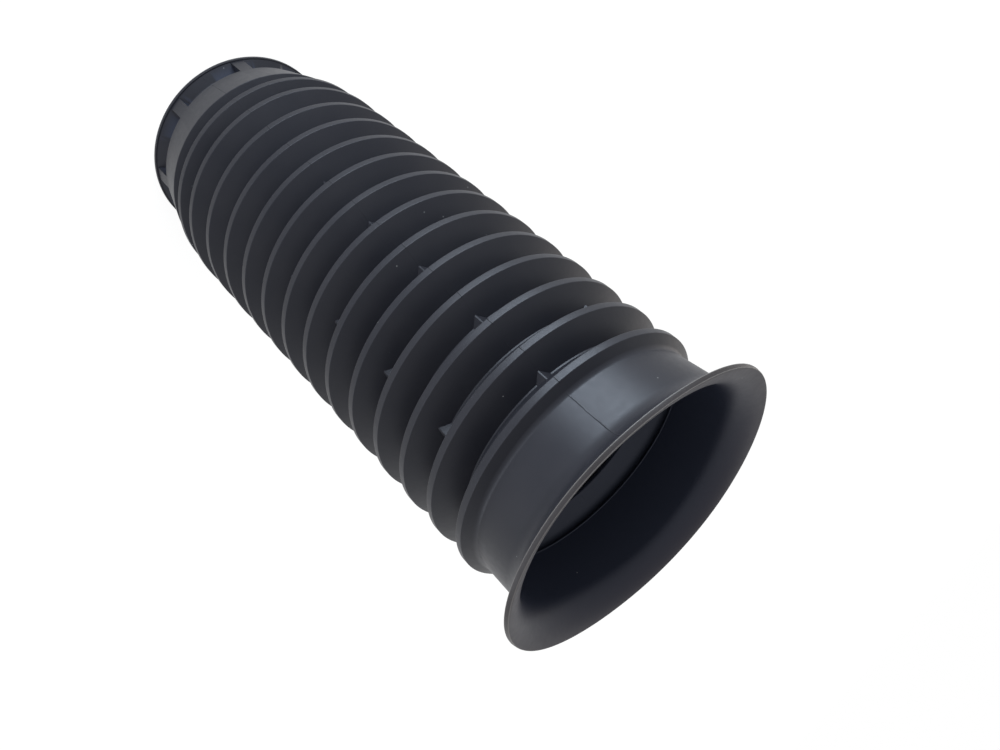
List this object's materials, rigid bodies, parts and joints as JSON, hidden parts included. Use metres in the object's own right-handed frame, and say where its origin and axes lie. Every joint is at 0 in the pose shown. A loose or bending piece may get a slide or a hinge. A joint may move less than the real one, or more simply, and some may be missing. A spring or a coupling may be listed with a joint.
{
  "type": "bellows boot",
  "caption": "Moulded rubber bellows boot with V-shaped folds, a flared mouth on a short neck, and a tapered collar with a cored-out end ring.",
  "frame": {"origin": "centre of the collar's end face, on the boot's axis, which is the lowest point of the part", "axes": "+Z runs along the axis from the collar to the flared mouth; the mould parts in the plane X = 0, so its seam runs along the boot at +Y and at -Y"},
  "size_m": [0.0898, 0.0898, 0.2093],
  "materials": {
    "rubber": "satin black moulded rubber"
  },
  "bodies": {
    "root": {"bellows_boot": "rubber"}
  },
  "joints": []
}
